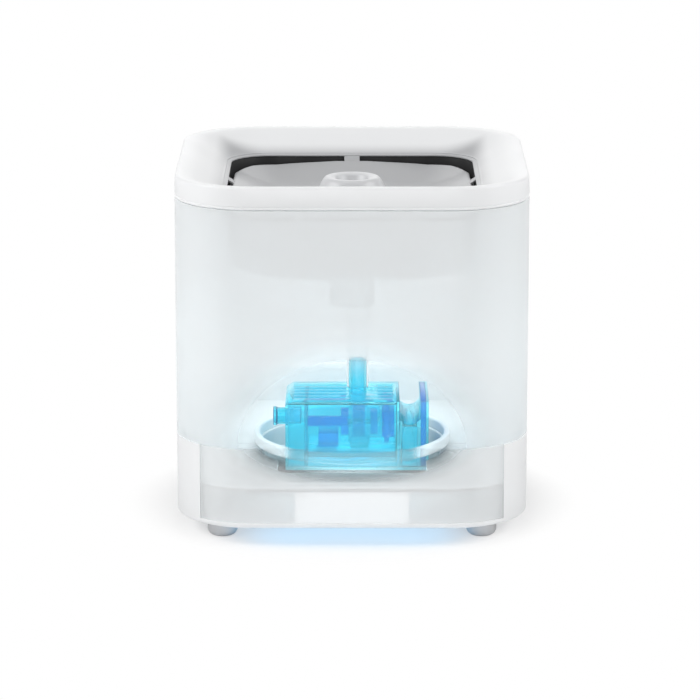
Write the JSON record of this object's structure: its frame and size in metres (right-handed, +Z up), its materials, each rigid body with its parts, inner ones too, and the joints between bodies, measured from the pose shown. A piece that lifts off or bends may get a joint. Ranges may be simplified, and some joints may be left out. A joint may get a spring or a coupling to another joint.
{
  "type": "pet water fountain",
  "caption": "Square pet water fountain with rounded corners: translucent tank on a low white base, dished drinking tray with a centre spout, filter below it and a small submerged pump.",
  "frame": {"origin": "centre of the footprint, on the surface the feet stand on", "axes": "+Z up, -Y towards the front with the light window, +X to the right seen from the front"},
  "size_m": [0.175, 0.175, 0.18],
  "materials": {
    "white_abs": "moulded, satin gloss",
    "tank_plastic": "translucent frosted",
    "window_plastic": "translucent frosted",
    "grey_silicone": "matt",
    "black_rubber": "matt",
    "black_foam": "open-cell foam",
    "carbon_granules": "granular",
    "white_fleece": "needle felt",
    "filter_plastic": "moulded",
    "housing_plastic": "moulded, satin",
    "pump_clear_blue": "clear tinted",
    "pump_deep_blue": "clear tinted",
    "clear_silicone": "clear",
    "copper_wire": "enamelled winding",
    "steel": "zinc plated",
    "ferrite": "sintered",
    "board_green": "solder mask",
    "black_plastic": "moulded",
    "magnet": "ground and sealed",
    "ceramic": "ground ceramic"
  },
  "bodies": {
    "base": {"base_housing": "white_abs", "front_panel": "window_plastic", "bottom_plate": "white_abs", "base_screws": "steel", "foot_front_left": "grey_silicone", "foot_front_right": "grey_silicone", "foot_rear_left": "grey_silicone", "foot_rear_right": "grey_silicone", "light_box": "white_abs", "led_board": "board_green", "glow_lens": "window_plastic", "coil_carrier": "filter_plastic", "ferrite_plate": "ferrite", "transmitter_coil": "copper_wire", "control_board": "board_green", "power_socket": "black_plastic", "socket_pin": "steel"},
    "tank": {"tank_shell": "tank_plastic", "locating_ring": "white_abs"},
    "cover": {"top_cover": "white_abs"},
    "spout": {"spout_cap": "white_abs"},
    "filter": {"filter_housing": "housing_plastic", "housing_gasket": "black_rubber", "filter_fleece": "white_fleece", "carbon_pack": "carbon_granules", "filter_frame": "filter_plastic", "filter_foam": "black_foam"},
    "pump": {"pump_casing": "pump_clear_blue", "pump_bracket": "pump_clear_blue", "end_plate": "pump_deep_blue", "pump_base_plate": "pump_clear_blue", "inlet_pipe": "pump_clear_blue", "bulkhead": "pump_clear_blue", "suction_tube": "pump_deep_blue", "pump_volute": "pump_clear_blue", "can_bearing": "ceramic", "eye_bearing": "ceramic", "stator_core": "pump_deep_blue", "stator_winding": "pump_deep_blue", "module_tray": "pump_clear_blue", "power_module": "pump_deep_blue", "receiver_coil": "pump_clear_blue", "chamber_saddle": "pump_clear_blue", "riser_tube": "clear_silicone", "riser_adapter": "clear_silicone"},
    "rotor": {"impeller": "pump_deep_blue", "rotor_magnet": "magnet", "pump_shaft": "steel"}
  },
  "joints": [
    {"name": "tank_lift", "type": "slide", "parent": "base", "child": "tank", "axis": [0, 0, 1], "range_m": [0, 0.04]},
    {"name": "cover_lift", "type": "slide", "parent": "tank", "child": "cover", "axis": [0, 0, 1], "range_m": [0, 0.075]},
    {"name": "spout_lift", "type": "slide", "parent": "cover", "child": "spout", "axis": [0, 0, 1], "range_m": [0, 0.02]},
    {"name": "filter_drop", "type": "slide", "parent": "cover", "child": "filter", "axis": [0, 0, -1], "range_m": [0, 0.025]},
    {"name": "pump_lift", "type": "slide", "parent": "tank", "child": "pump", "axis": [0, 0, 1], "range_m": [0, 0.018]},
    {"name": "rotor_spin", "type": "hinge", "parent": "pump", "child": "rotor", "pos_m": [0.0029, 0, 0.0415], "axis": [1, 0, 0], "continuous": true}
  ]
}
